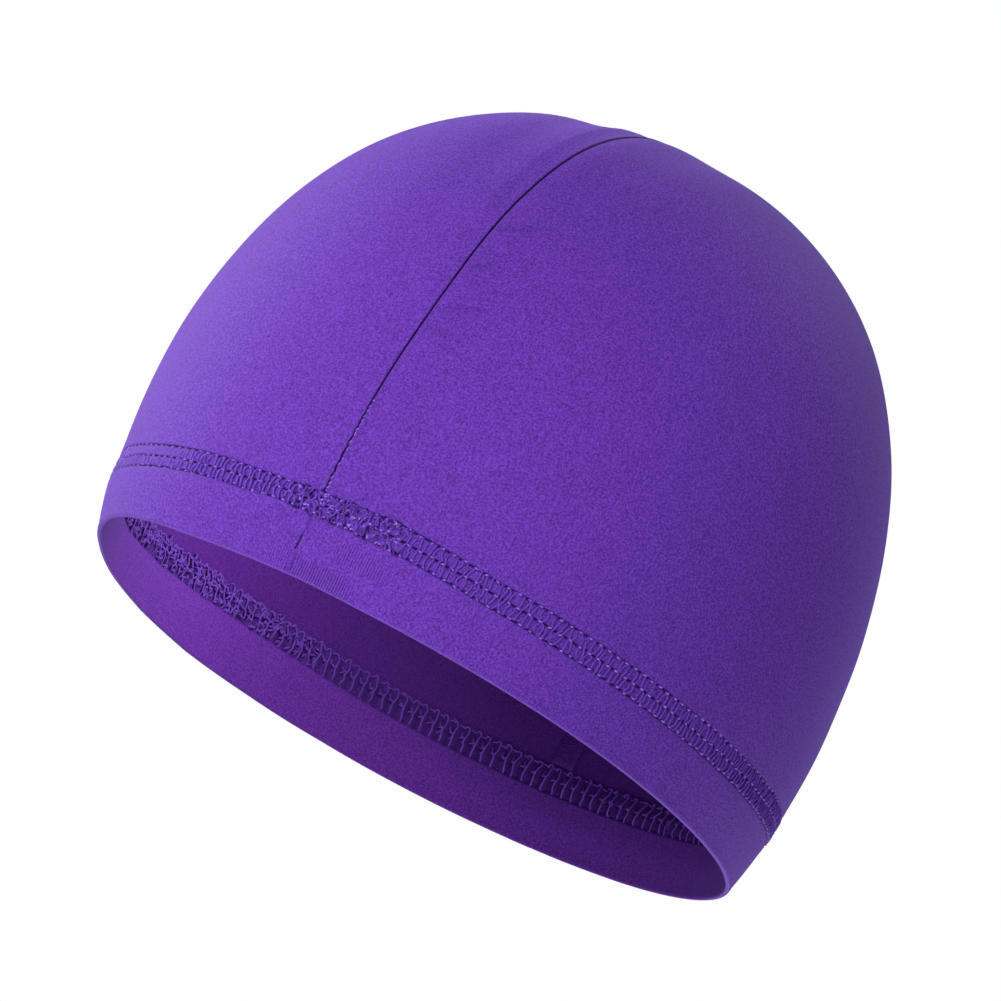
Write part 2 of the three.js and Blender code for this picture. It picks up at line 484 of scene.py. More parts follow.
def new_piece(name, points, faces, materials, cloth_map, shade, finishes=None):
    """A smooth mesh piece from points in millimetres.

    The cloth map gives each point a place on the flat cloth, and the shade how little light reaches it
    between stitches. The finishes say which of the materials each face has."""
    mesh = bpy.data.meshes.new(name)
    mesh.from_pydata((np.asarray(points) * MM).tolist(), [], faces)
    layer = mesh.uv_layers.new(name="cloth_mm")
    corners = np.zeros(len(mesh.loops), np.int32)
    mesh.loops.foreach_get("vertex_index", corners)
    layer.uv.foreach_set("vector", np.asarray(cloth_map, np.float32)[corners].ravel())
    shading = mesh.attributes.new("stitch_shade", "FLOAT", "POINT")
    shading.data.foreach_set("value", np.asarray(shade, np.float32).ravel())
    mesh.polygons.foreach_set("use_smooth", np.ones(len(mesh.polygons), bool))
    for material in materials:
        mesh.materials.append(material)
    if finishes is not None:
        mesh.polygons.foreach_set("material_index", np.asarray(finishes, np.int32))
    piece = bpy.data.objects.new(name, mesh)
    bpy.context.scene.collection.objects.link(piece)
    return piece


def grid_faces(rows, columns, wrap_rows=False, wrap_columns=False):
    """Four-cornered faces over a grid of points that are listed row by row."""
    i = np.arange(rows if wrap_rows else rows - 1)[:, None]
    j = np.arange(columns if wrap_columns else columns - 1)[None, :]
    below = i * columns
    above = (i + 1) % rows * columns
    right = (j + 1) % columns
    faces = np.stack(np.broadcast_arrays(below + j, below + right, above + right, above + j), -1)
    return faces.reshape(-1, 4).tolist()


def merge_doubles(piece, distance=1e-7):
    """Joins points that lie on each other, such as those at the top of the crown."""
    shape = bmesh.new()
    shape.from_mesh(piece.data)
    bmesh.ops.remove_doubles(shape, verts=shape.verts, dist=distance)
    bmesh.ops.dissolve_degenerate(shape, edges=shape.edges, dist=distance)
    bmesh.ops.recalc_face_normals(shape, faces=shape.faces)
    shape.to_mesh(piece.data)
    shape.free()


def spaced(start, *stretches):
    """Values from start in stretches, each of which runs to an end in steps of about one size."""
    values = [np.array([start])]
    for end, step in stretches:
        last = values[-1][-1]
        count = max(1, round((end - last) / step))
        values.append(np.linspace(last, end, count + 1)[1:])
    return np.concatenate(values)


GROOVE_STEPS = np.array([0.08, 0.16, 0.26, 0.38, 0.52, 0.7, 0.95])  # mesh rows beside a needle row


# Crown panels

CROWN_LENGTH = 200.0  # along the cloth from the rim over the front to the top
CROWN_LOW_ROWS = 46.0  # up to this height the mesh rows follow the hem, and above it they close at the top
CROWN_RADIUS = 88.0  # about the cap's widest, which turns columns' spacing into angles
CROWN_MAP_HEIGHT = 180.0  # how much of the cloth's map one level takes above the table of heights
SEAM_SHADE = 0.9  # how much painted shade darkens the crease of the centre seam
TOP_SHADE = 0.15  # the same at the one point on the top


def panel_turns(side):
    """Turns from the front seam to the back seam for a panel's columns, close together beside the seams."""
    curl = SEAM_ROLL * (1 - np.cos(np.linspace(0, math.pi / 2, 6)))
    fine_end = OVERLAP_AFTER if side > 0 else OVERLAP_BEFORE
    near = np.concatenate([curl, spaced(SEAM_ROLL, (1.6, 0.2), (fine_end + 2.0, 0.55))[1:]])
    back = np.concatenate([curl, spaced(SEAM_ROLL, (1.6, 0.3), (4.0, 0.6))[1:]])
    far_end = math.pi * CROWN_RADIUS
    between_them = spaced(near[-1], (far_end - back[-1], 1.08))[1:-1]
    turns = np.concatenate([near, between_them, far_end - back[::-1]]) / CROWN_RADIUS
    if len(turns) % 2 == 0:
        turns = np.delete(turns, len(turns) // 2)
    return turns


def panel_levels(angle):
    """Levels for a panel's mesh rows at each of its columns' angles, from the flat seam to the top."""
    band = np.concatenate([
        ROW_MIDDLE + GROOVE_STEPS,
        [ROW_MIDDLE + 1.25, ROW_MIDDLE + 1.6],
        ROW_HIGH - GROOVE_STEPS[::-1],
        [ROW_HIGH],
        ROW_HIGH + GROOVE_STEPS,
    ])
    low = np.concatenate([band, spaced(band[-1], (23.0, 0.5), (CROWN_LOW_ROWS, 0.9))[1:]])
    low_levels = heights.level_at(angle[None, :], low[:, None])
    high = spaced(CROWN_LOW_ROWS, (62.0, 1.5), (108.0, 1.05), (CROWN_LENGTH, 2.1))[1:]
    share = (high - CROWN_LOW_ROWS) / (CROWN_LENGTH - CROWN_LOW_ROWS)
    start = low_levels[-1]
    return np.concatenate([low_levels, start + (1 - start) * share[:, None]])


def panel_surfaces(side, angle, level, height):
    """A panel's outside and inside points, and how little light reaches its outside."""
    smooth = cloth_point(angle, level)
    out = outward(angle, level)
    relief = cloth_relief(smooth, angle, level)
    on_table = level < TABLE_LEVEL
    band = np.where(on_table, band_relief(smooth, angle, height), 0)
    edge = seam_roll(smooth[..., 0]) + seam_lip(smooth, side)
    outside = smooth + out * (relief + band + edge)[..., None]
    inside = smooth + out * (relief - CLOTH)[..., None]
    outside[-1] = smooth[-1] + [0, 0, relief[-1, 0] - SEAM_ROLL]
    inside[-1] = smooth[-1] + [0, 0, relief[-1, 0] - CLOTH]
    near_seam = (1 - soft_step(np.abs(smooth[..., 0]), 0.4, 6.0)) * (smooth[..., 1] < 0)
    for face in (outside, inside):
        face[..., 0] += side * seam_half_gap(level) + seam_wander(smooth[..., 2]) * near_seam
    in_crease = SEAM_SHADE * (1 - soft_step(np.abs(smooth[..., 0]), 0.02, 0.3))
    in_crease[-1] = TOP_SHADE
    in_band = np.where(on_table, band_shade(smooth, angle, height), 0)
    return outside, inside, np.clip(in_crease + pucker_shade(smooth) + in_band, 0, 1)


def panel_map(angle, level, height):
    """Where a panel's points lie on the flat cloth: along the seam, and up from the rim."""
    above = heights.height_at(angle, TABLE_LEVEL) + (level - TABLE_LEVEL) * CROWN_MAP_HEIGHT
    return np.stack([seam_distance(angle), np.where(level < TABLE_LEVEL, height, above)], -1)


def panel_faces(rows, count, outer_count):
    """Faces round a panel's outside and inside, and which of them are finished as the inside."""
    faces = grid_faces(rows, count, wrap_columns=True)
    column = np.arange(count)
    finishes = np.tile((column >= outer_count) & (column < count - 1), rows - 1).astype(int)
    for j in range(0, outer_count - 1, 2):
        faces.append([j, count - 1 - j // 2, count - 2 - j // 2, j + 2, j + 1])
    return faces, np.concatenate([finishes, np.zeros(len(faces) - len(finishes), int)])


def crown_panel(name, side, outside_material, inside_material):
    """Half of the dome. The side is 1 for the wearer's left and -1 for the right."""
    column_angle = FRONT + side * panel_turns(side)
    level = panel_levels(column_angle)
    angle = np.broadcast_to(column_angle, level.shape)
    height = heights.height_at(angle, level)
    outside, inside, shade = panel_surfaces(side, angle, level, height)
    flat = panel_map(angle, level, height)
    # The inside needs only every other column
    ring = np.concatenate([outside, inside[:, ::-2]], 1)
    ring_map = np.concatenate([flat, flat[:, ::-2]], 1)
    ring_shade = np.concatenate([shade, 0 * shade[:, ::-2]], 1)
    faces, finishes = panel_faces(*ring.shape[:2], outside.shape[1])
    piece = new_piece(name, ring.reshape(-1, 3), faces, [outside_material, inside_material],
                      ring_map.reshape(-1, 2), ring_shade, finishes)
    merge_doubles(piece)
    return piece


# Hem

INNER_EDGE = ROW_HIGH + 0.4  # height of the cut edge of the hem's inner layer
INNER_EDGE_THIN = 0.95  # how much thinner that layer is at its edge
FOLD_THICKNESS = 1.2  # the worn fold is pulled thin at the rim
FOLD_ENDS = 10.0  # height where the hem has its full thickness
LAYERS_PART = 7.0  # height where the gap between its two layers begins
FOLD_BEAD = 0.16  # how far the cloth swells just above the fold
INSIDE_SHARE = 0.45  # below this share of the outer relief, the fold is finished as the inside, with its painted shade


def inner_depth(height):
    """How deep the hem's inner face lies: thin at the fold, and where its edge ends under the threads."""
    at_fold = (HEM_THICKNESS - FOLD_THICKNESS) * (1 - soft_step(height, 0.0, FOLD_ENDS))
    return HEM_THICKNESS - at_fold - INNER_EDGE_THIN * soft_step(height, ROW_MIDDLE - 0.5, INNER_EDGE)


def inner_holes(angle, height):
    """How far the threads inside the flat seam pull the inner face out, between them and along the rows."""
    stitch = seam_distance(angle) / PITCH
    rows = sum(bell(height, row, 0.45) for row in ROWS)
    inside = between(height, ROW_LOW + 0.3, ROW_HIGH, 0.6)
    holes = 0.5 - 0.5 * np.cos(2 * math.pi * stitch)
    room = soft_step(inner_depth(height), 1.35, 2.2)
    return (0.3 * rows + 0.6 * inside * holes) * room


def inner_shade(angle, height):
    """How little light reaches the hem's inner face under the threads."""
    holes = 0.5 - 0.5 * np.cos(2 * math.pi * seam_distance(angle) / PITCH)
    return between(height, ROW_LOW - 0.4, INNER_EDGE, 0.5) * (0.45 + 0.4 * holes)


def hem_section():
    """Height, depth, and the shares of the outer and inner relief, once round the hem's doubled cloth."""
    fold = FOLD_THICKNESS / 2
    outer = np.concatenate([
        ROW_MIDDLE - GROOVE_STEPS,
        [ROW_MIDDLE - 1.25, ROW_MIDDLE - 1.6],
        ROW_LOW + GROOVE_STEPS[::-1],
        [ROW_LOW],
        ROW_LOW - GROOVE_STEPS,
        ROW_LOW - np.array([1.3, 1.8, 2.4]),
        np.linspace(11.3, fold, 19)[:-1],
    ])
    inner = np.concatenate([np.linspace(fold, 12.0, 9)[1:], spaced(12.4, (INNER_EDGE, 0.4))])
    turn = np.linspace(0, math.pi, 13)
    section = [(h, 0.0, 1.0, 0.0) for h in outer]
    section += [
        (fold - fold * math.sin(t), fold - fold * math.cos(t), 0.5 + 0.5 * math.cos(t), 0.0)
        for t in turn
    ]
    section += [(h, inner_depth(h), 0.0, 1.0) for h in inner]
    edge_out = CLOTH + 0.06
    edge_in = inner_depth(INNER_EDGE)
    half = (edge_in - edge_out) / 2
    section += [
        (INNER_EDGE + half * math.sin(t), edge_in - half + half * math.cos(t), 0.0, 0.0)
        for t in np.linspace(0, math.pi, 5)[1:]
    ]
    section += [(h, CLOTH + LAYER_GAP, 0.0, 0.0) for h in np.linspace(ROW_MIDDLE, LAYERS_PART, 5)]
    section += [(h, CLOTH, 0.0, 0.0) for h in np.linspace(LAYERS_PART, ROW_MIDDLE - GROOVE_STEPS[0], 5)]
    return np.array(section)


def hem_distances():
    """Distances along the seam for the hem's columns, closest at its joint and in the run's overlap."""
    return np.concatenate([
        spaced(0.0, (2.4, 0.12), (OVERLAP_AFTER + 2, 0.42), (SEAM_LENGTH - OVERLAP_BEFORE - 2, 0.66)),
        spaced(SEAM_LENGTH - OVERLAP_BEFORE - 2, (SEAM_LENGTH - 2.4, 0.42), (SEAM_LENGTH, 0.12))[1:-1],
    ])


def hem_band(outside_material, inside_material):
    """The ring of doubled cloth round the head opening."""
    section = hem_section()
    distance = hem_distances()
    height, depth, outer_share, inner_share = (section[:, column][:, None] for column in range(4))
    shape = (len(section), len(distance))
    angle = np.broadcast_to(seam_angle(distance)[None, :], shape)
    height = np.broadcast_to(height, shape)
    level = heights.level_at(angle, height)
    smooth = cloth_point(angle, level)
    relief = cloth_relief(smooth, angle, level)
    bead = FOLD_BEAD * bell(height, 0.9, 0.6)
    outer = band_relief(smooth, angle, height) + joint_relief(angle, height) + bead
    lift = relief + outer * outer_share + inner_holes(angle, height) * inner_share - depth
    points = smooth + outward(angle, np.maximum(level, 0.002)) * lift[..., None]
    outer_shade = band_shade(smooth, angle, height) + joint_shade(angle, height)
    shade = np.clip(outer_shade * (outer_share > 0.9) + inner_shade(angle, height) * inner_share, 0, 1)
    along = np.broadcast_to(distance[None, :], shape)
    flat = np.stack([along, np.where(depth > CLOTH, -height, height)], -1)
    faces = grid_faces(*shape, wrap_rows=True, wrap_columns=True)
    last_inside = np.flatnonzero(inner_share[:, 0])[-1]
    seen_inside = (outer_share[:, 0] < INSIDE_SHARE) & (np.arange(shape[0]) < last_inside)
    finishes = np.repeat(seen_inside.astype(int), shape[1])
    piece = new_piece("hem_cloth", points.reshape(-1, 3), faces, [outside_material, inside_material],
                      flat.reshape(-1, 2), shade, finishes)
    merge_doubles(piece)
    return piece


# Threads

COVER_THREAD = 0.31  # radii of the threads, with the loft of their loose filaments
NEEDLE_THREAD = 0.22
OVERLAP_THREAD = 0.23
LOOPER_THREAD = 0.25
SLACK_THREAD = 0.27
CHAIN_THREAD = 0.18
OVERLOCK_THREAD = 0.13
CREASE_THREAD = 0.16
JOINT_THREAD = 0.14
COVER_SINKS = 0.26  # how much deeper the cover thread lies where it is tight
NEEDLE_SINKS = 0.3
TIGHT_SHADE = 0.16
PATH_STEPS = 2  # points for each stretch of a thread's path


def thread_hollows(points):
    """How deep in shade the threads lie, from 0 to 1: in the flat seam's overlap, and where they're tight."""
    near = between(points[..., 0], -OVERLAP_BEFORE, OVERLAP_AFTER, 2.0) * (points[..., 1] < 0)
    crumpled = np.clip(-0.45 * crumple(points), 0, 0.3) * near
    return np.maximum(crumpled, TIGHT_SHADE * pulled_tight(points))


def thread_mesh(name, paths, radius, sides, material):
    """Round threads as one mesh, each along a path of points in mm with the ways out of the cloth."""
    points = []
    faces = []
    turns = (np.arange(sides) / sides - 0.5) * 2 * math.pi  # from below the thread, with 0 on its top
    maps = []
    shades = []
    start = 0
    for path in paths:
        middle = path[:, :3]
        count = len(path)
        ahead = np.gradient(middle, axis=0)
        ahead /= np.linalg.norm(ahead, axis=1, keepdims=True)
        side = np.cross(ahead, path[:, 3:] + [0.003, 0.002, 0.001])
        side /= np.linalg.norm(side, axis=1, keepdims=True)
        up = np.cross(side, ahead)
        ring = np.cos(turns)[None, :, None] * up[:, None] + np.sin(turns)[None, :, None] * side[:, None]
        points.append((middle[:, None] + radius * ring).reshape(-1, 3))
        travelled = np.concatenate([[0], np.cumsum(np.linalg.norm(np.diff(middle, axis=0), axis=1))])
        uv = np.stack(np.broadcast_arrays(travelled[:, None], turns[None, :] / (2 * math.pi)), -1)
        maps.append(uv.reshape(-1, 2))
        # Painted shade: each thread's flanks and underside, and the hollows where it lies deep, are darkened
        # by the material
        flanks = np.broadcast_to(0.5 - 0.5 * np.cos(turns), (count, sides))
        shades.append(np.maximum(flanks, thread_hollows(middle)[:, None]).ravel())
        faces += (np.array(grid_faces(count, sides, wrap_columns=True)) + start).tolist()
        faces.append([start + s for s in range(sides)][::-1])
        faces.append([start + (count - 1) * sides + s for s in range(sides)])
        start += count * sides
    return new_piece(name, np.concatenate(points), faces, [material],
                     np.concatenate(maps), np.concatenate(shades))


def smooth_path(knots):
    """A rounded path through knots."""
    ends = np.concatenate([2 * knots[:1] - knots[1:2], knots, 2 * knots[-1:] - knots[-2:-1]])
    t = np.linspace(0, 1, PATH_STEPS, endpoint=False)[None, :, None]
    a, b, c, d = (ends[i:len(ends) - 3 + i][:, None] for i in range(4))
    square = (2 * a - 5 * b + 4 * c - d) * t ** 2
    cube = (3 * b - a - 3 * c + d) * t ** 3
    curve = 0.5 * (2 * b + (c - a) * t + square + cube)
    return np.concatenate([curve.reshape(-1, knots.shape[1]), knots[-1:]])


def on_outside(places):
    """Points over the cloth's outside and the ways out of it, for rows of distance, height and lift."""
    distance, height, lift = np.asarray(places).T
    angle = seam_angle(distance)
    level = heights.level_at(angle, height)
    points = cloth_point(angle, level)
    out = outward(angle, level)
    return np.concatenate([points + out * (lift + cloth_relief(points, angle, level))[:, None], out], 1)


def on_inside(places):
    """The same over the hem's inner face, with the lift and the way out towards the head."""
    distance, height, lift = np.asarray(places).T
    path = on_outside(np.stack([distance, height, -inner_depth(height) - lift], -1))
    path[:, 3:] *= -1
    return path


# One stitch of the cover thread, as share of the stitch, height in half bands from the middle row, and lift.
# It crosses the band twice and dips under each of the three needle rows.
COVER_STITCH = np.array([
    (0.02, 1.00, -0.50),
    (0.03, 0.84, -0.06),
    (0.06, 0.52, 0.06),
    (0.10, 0.20, -0.02),
    (0.10, 0.00, -0.30),
    (0.02, -0.20, -0.02),
    (0.00, -0.52, 0.06),
    (0.02, -0.84, -0.06),
    (0.06, -1.00, -0.50),
    (0.28, -0.98, -0.62),
    (0.48, -1.00, -0.50),
    (0.50, -0.84, -0.06),
    (0.52, -0.52, 0.06),
    (0.52, -0.20, -0.02),
    (0.44, 0.00, -0.30),
    (0.44, 0.20, -0.02),
    (0.48, 0.52, 0.06),
    (0.54, 0.84, -0.06),
    (0.57, 1.00, -0.50),
    (0.80, 0.98, -0.62),
])
# One stitch of the looper thread on the inside: a rung across the band whose top turns over the edge, then
# a short arm that comes up beside the rung at the middle row
LOOPER_STITCH = np.array([
    (0.00, -1.08, -0.60),
    (0.00, -0.92, 0.16),
    (0.04, -0.50, 0.34),
    (0.07, -0.08, 0.30),
    (0.03, 0.35, 0.38),
    (-0.02, 0.75, 0.34),
    (0.02, 1.04, 0.28),
    (0.16, 1.18, 0.22),
    (0.34, 1.12, 0.02),
    (0.48, 0.96, -0.40),
    (0.52, 0.60, -0.75),
    (0.44, 0.20, -0.30),
    (0.34, 0.10, 0.20),
    (0.20, 0.05, 0.20),
    (0.10, -0.04, -0.12),
    (0.32, -0.60, -0.80),
    (0.80, -1.00, -0.95),
])


def run_of(stitch, first, last, rng, wander, lean):
    """Places along the seam for a thread that repeats a stitch, each one a little different."""
    places = []
    for number in range(first, last):
        loose = rng.normal(0, 1, stitch.shape) * [wander, 1.4 * wander, 0.8 * wander]
        loose[:, 0] += rng.normal(0, lean) * stitch[:, 1] + rng.normal(0, 0.6 * lean)
        places.append((stitch + loose) * [PITCH, HALF_BAND, 1.0] + [number * PITCH, ROW_MIDDLE, 0.0])
    return np.concatenate(places)


OVERLAP_FIRST = round(-OVERLAP_BEFORE / PITCH)  # stitches from the centre seam
OVERLAP_LAST = round(OVERLAP_AFTER / PITCH)


def outer_cover(material):
    """The cover thread on the outside of the flat seam, which crosses it twice in each stitch."""
    rng = np.random.default_rng(31)
    even = run_of(COVER_STITCH, OVERLAP_LAST, STITCHES + OVERLAP_FIRST, rng, wander=0.06, lean=0.13)
    sewn_over = run_of(COVER_STITCH, OVERLAP_FIRST, OVERLAP_LAST, rng, wander=0.13, lean=0.25)
    path = on_outside(smooth_path(np.concatenate([sewn_over, even])))
    path[:, :3] -= COVER_SINKS * pulled_tight(path)[:, None] * path[:, 3:]
    return thread_mesh("flat_seam_cover_thread", [path], COVER_THREAD, 8, material)


# Where in a stitch each needle row's dot is, as share of the stitch, and half its length
NEEDLE_ROWS = (
    {"height": ROW_LOW, "phase": 0.0, "half_length": 0.24},
    {"height": ROW_MIDDLE, "phase": 0.27, "half_length": 0.31},
    {"height": ROW_HIGH, "phase": 0.78, "half_length": 0.22},
)
DOT_SHARE = np.array([-1.0, -0.62, 0.0, 0.62, 1.0])
DOT_RISE = np.array([-0.42, 0.06, 0.2, 0.06, -0.42])


def needle_thread(material):
    """The needle threads on the outside, which show as one bright dot in each stitch and row.

    A dot is a short raised loop whose ends go into the cloth, deeper towards the wearer's right."""
    rng = np.random.default_rng(32)
    paths = []
    for row in NEEDLE_ROWS:
        for number in range(STITCHES):
            middle = (number + row["phase"]) * PITCH + rng.normal(0, 0.1)
            height = row["height"] + rng.normal(0, 0.11)
            slope = rng.normal(0.0, 0.25)
            along = row["half_length"] * rng.uniform(0.8, 1.3) * DOT_SHARE
            raised = DOT_RISE + rng.uniform(-0.2, 0.1)
            path = on_outside(smooth_path(np.stack([middle + along, height + slope * along, raised], -1)))
            path[:, :3] -= NEEDLE_SINKS * soft_step(-path[:, :1], 5, 38) * path[:, 3:]
            paths.append(path)
    return thread_mesh("flat_seam_needle_thread", paths, NEEDLE_THREAD, 6, material)


NET_FROM = 0.62  # share of the way round, on the wearer's right, where the inside threads are a loose net
NET_TO = 0.97
LOOP_SHARE = np.array([-1.0, -0.6, 0.0, 0.6, 1.0])
OVERLAP_LOOPS = {
    "seed": 33,
    "loops": 80,
    "along": (-OVERLAP_BEFORE, OVERLAP_AFTER),
    "height": (ROW_LOW - 0.2, ROW_HIGH + 0.2),
    "turn": (0.6, 1.0),
    "half_length": (0.4, 0.8),
    "bow": 0.15,
    "rise": (-0.6, -0.05, 0.08, -0.05, -0.6),
    "loose": (0.0, 0.25),
}
OVERLAP_DOTS = OVERLAP_LOOPS | {"seed": 34, "loops": 50, "half_length": (0.26, 0.42)}
NET_LOOPS = {
    "seed": 37,
    "loops": 560,
    "along": (NET_FROM * SEAM_LENGTH, NET_TO * SEAM_LENGTH),
    "height": (ROW_LOW - 0.2, INNER_EDGE + 0.3),
    "turn": (-0.5, 0.9),
    "half_length": (0.4, 0.9),
    "bow": 0.3,
    "rise": (-0.5, 0.12, 0.34, 0.12, -0.5),
    "loose": (-0.1, 0.2),
}


def short_loops(mat, on_cloth):
    """Paths of short loops that lie all ways over the seam, within what a mat's values give."""
    rng = np.random.default_rng(mat["seed"])
    paths = []
    for _ in range(mat["loops"]):
        along = rng.uniform(*mat["along"])
        height = rng.uniform(*mat["height"])
        turn = rng.normal(*mat["turn"])
        half = rng.uniform(*mat["half_length"]) * LOOP_SHARE
        bow = rng.normal(0, mat["bow"]) * (1 - LOOP_SHARE ** 2)
        rise = np.array(mat["rise"]) + rng.uniform(*mat["loose"])
        places = [along + half * math.cos(turn), height + half * math.sin(turn) + bow, rise]
        paths.append(on_cloth(smooth_path(np.stack(places, -1))))
    return paths


def overlap_loops(material):
    """The end of the cover thread's run, sewn over its start beside the centre seam: a crumpled mat."""
    paths = short_loops(OVERLAP_LOOPS, on_outside)
    return thread_mesh("flat_seam_overlap_thread", paths, OVERLAP_THREAD, 8, material)


def overlap_dots(material):
    """The needle threads in that mat, as bright dots."""
    paths = short_loops(OVERLAP_DOTS, on_outside)
    return thread_mesh("flat_seam_overlap_needle_thread", paths, OVERLAP_THREAD, 8, material)


def inner_looper(material):
    """The looper thread's rungs on the inside of the flat seam, slack on the wearer's right."""
    rng = np.random.default_rng(35)
    net_first = round(NET_FROM * STITCHES)
    net_last = round(NET_TO * STITCHES)
    paths = []
    for first, last, wander, lean in (
        (0, net_first, 0.05, 0.07),
        (net_first, net_last, 0.10, 0.16),
        (net_last, STITCHES, 0.05, 0.07),
    ):
        paths.append(on_inside(smooth_path(run_of(LOOPER_STITCH, first, last, rng, wander, lean))))
    return thread_mesh("flat_seam_looper_thread", paths, LOOPER_THREAD, 6, material)


def inner_net(material):
    """Slack loops of the looper thread on the wearer's right, which lie all ways over its rungs."""
    paths = short_loops(NET_LOOPS, on_inside)
    return thread_mesh("flat_seam_slack_thread", paths, SLACK_THREAD, 6, material)


# Links of needle thread along a row on the inside, in each stitch; the lowest row's lie hidden
CHAIN_ROWS = (
    {"height": ROW_MIDDLE, "phase": 0.36, "reach": 0.42, "lift": 0.34},
    {"height": ROW_HIGH, "phase": 0.6, "reach": 0.8, "lift": 0.05},
)
CHAIN_RISE = np.array([-0.4, 0.0, 0.12, 0.0, -0.4])


def inner_chain(material):
    """Needle thread on the inside: a link along each row in every stitch."""
    rng = np.random.default_rng(36)
    paths = []
    for row in CHAIN_ROWS:
        for number in range(STITCHES):
            along = row["reach"] * rng.uniform(0.75, 1.2) * LOOP_SHARE
            middle = (number + row["phase"]) * PITCH + rng.normal(0, 0.12)
            height = row["height"] + rng.normal(0, 0.12) + rng.normal(0, 0.25) * along
            knots = np.stack([middle + along, height, CHAIN_RISE + row["lift"]], -1)
            paths.append(on_inside(smooth_path(knots)))
    return thread_mesh("flat_seam_chain_thread", paths, CHAIN_THREAD, 5, material)


# Centre seam

def seam_line():
    """Where the centre seam runs, from front hem to back hem.

    Gives distances along it, points, the ways out of the cloth, how the cloth bends across it, and levels."""
    bottom_front = heights.level_at(FRONT, INNER_EDGE + 0.4)
    bottom_back = heights.level_at(-FRONT, INNER_EDGE + 0.4)
    steps = 400
    up = np.linspace(bottom_front, 1, steps)[:-1]
    down = np.linspace(1, bottom_back, steps)
    level = np.concatenate([up, down])
    angle = np.concatenate([np.full(len(up), FRONT), np.full(len(down), -FRONT)])
    points = cloth_point(angle, level)
    out = outward(angle, level)
    out[..., 0] = 0
    out /= np.linalg.norm(out, axis=1, keepdims=True)
    turn = 0.02
    near_level = np.minimum(level, 0.985)
    here = outer_point(angle, near_level)
    aside = outer_point(angle + turn, near_level) - here
    bend = -2 * np.einsum("nc,nc->n", aside, out) / np.einsum("nc,nc->n", aside, aside)
    travelled = np.concatenate([[0], np.cumsum(np.linalg.norm(np.diff(points, axis=0), axis=1))])
    return travelled, points, out, bend, level


LINE_AT, LINE_POINTS, LINE_OUT, LINE_BEND, LINE_LEVEL = seam_line()
LINE_LENGTH = LINE_AT[-1]


def beside_seam(distance, x, lift):
    """Points near the centre seam and the ways out of the cloth there.

    They are at a distance along the seam, x across it and a lift out of the cloth's outside."""
    distance, x, lift = np.broadcast_arrays(distance, x, lift)
    base = np.stack([np.interp(distance, LINE_AT, LINE_POINTS[:, c]) for c in range(3)], -1)
    out = np.stack([np.interp(distance, LINE_AT, LINE_OUT[:, c]) for c in range(3)], -1)
    out /= np.linalg.norm(out, axis=-1, keepdims=True)
    bend = np.interp(distance, LINE_AT, LINE_BEND)
    base[..., 0] += x
    angle = np.where(base[..., 1] < LINE_POINTS[len(LINE_AT) // 2, 1], FRONT, -FRONT)
    relief = cloth_relief(base, angle, np.interp(distance, LINE_AT, LINE_LEVEL))
    base[..., 0] += seam_wander(base[..., 2]) * (base[..., 1] < 0)
    return np.concatenate([base + out * (lift + relief - bend * x ** 2 / 2)[..., None], out], -1)


EDGES_THICKNESS = 0.7  # the two overlocked edges, pressed flat
EDGES_DEPTH = CLOTH + 0.12


def allowance_strip(material):
    """The two panels' edges, overlocked together and pressed to the wearer's right."""
    distance = np.linspace(0.5, LINE_LENGTH - 0.5, 300)
    around = np.linspace(0, 2 * math.pi, 24, endpoint=False)
    half_width = ALLOWANCE_WIDTH / 2
    middle = ALLOWANCE_LAP - half_width
    half_thick = EDGES_THICKNESS / 2
    cross = np.sign(np.cos(around)) * np.abs(np.cos(around)) ** 0.6 * half_width
    rise = np.sign(np.sin(around)) * np.abs(np.sin(around)) ** 0.9 * half_thick
    ripple = 0.12 * np.sin(distance * 2 * math.pi / OVERLOCK_STITCH)[:, None] * (cross < 0)[None, :]
    depth = EDGES_DEPTH + half_thick
    across = middle + cross[None, :] + ripple
    points = beside_seam(distance[:, None], across, rise[None, :] - depth)[..., :3]
    flat = np.stack(np.broadcast_arrays(distance[:, None], cross[None, :]), -1)
    faces = grid_faces(len(distance), len(around), wrap_columns=True)
    last = (len(distance) - 1) * len(around)
    faces.append(list(range(len(around)))[::-1])
    faces.append([last + i for i in range(len(around))])
    piece = new_piece("centre_seam_edges", points.reshape(-1, 3), faces, [material], flat.reshape(-1, 2),
                      np.zeros(flat.shape[:2]))
    merge_doubles(piece)
    return piece


def overlock_threads(material):
    """The overlock's looper threads across the turned edges, and its needle thread along them."""
    rng = np.random.default_rng(41)
    floor = -(EDGES_DEPTH + EDGES_THICKNESS) - 0.02
    needle_x = -1.0
    edge_x = ALLOWANCE_LAP - ALLOWANCE_WIDTH
    stitch = np.array([
        (0.0, needle_x, floor),
        (0.2, -2.4, floor - 0.05),
        (0.42, -4.3, floor),
        (0.5, edge_x, floor + 0.3),
        (0.58, edge_x - 0.1, floor + 0.45),
        (0.66, edge_x, floor + 0.3),
        (0.76, -4.2, floor),
        (0.9, -2.4, floor - 0.05),
    ])
    count = int((LINE_LENGTH - 2) / OVERLOCK_STITCH)
    scale = [OVERLOCK_STITCH, 1, 1]
    start = [1.0, 0, 0]
    zigzag = np.concatenate([
        (stitch + [number, 0, 0]) * scale + rng.normal(0, 0.06, stitch.shape) * [1, 1, 0.3]
        for number in range(count)
    ])
    row = [(0.05, needle_x, floor + 0.1), (0.5, needle_x, floor - 0.06), (0.95, needle_x, floor + 0.1)]
    needle = np.concatenate([(np.array(row) + [number, 0, 0]) * scale for number in range(count)])
    paths = [beside_seam(*smooth_path(knots + start).T) for knots in (zigzag, needle)]
    for path in paths:
        path[:, 3:] *= -1
    return thread_mesh("centre_seam_overlock_thread", paths, OVERLOCK_THREAD, 5, material)


CREASE_STITCHES_END = 24.0  # how far up the front seam those stitches show


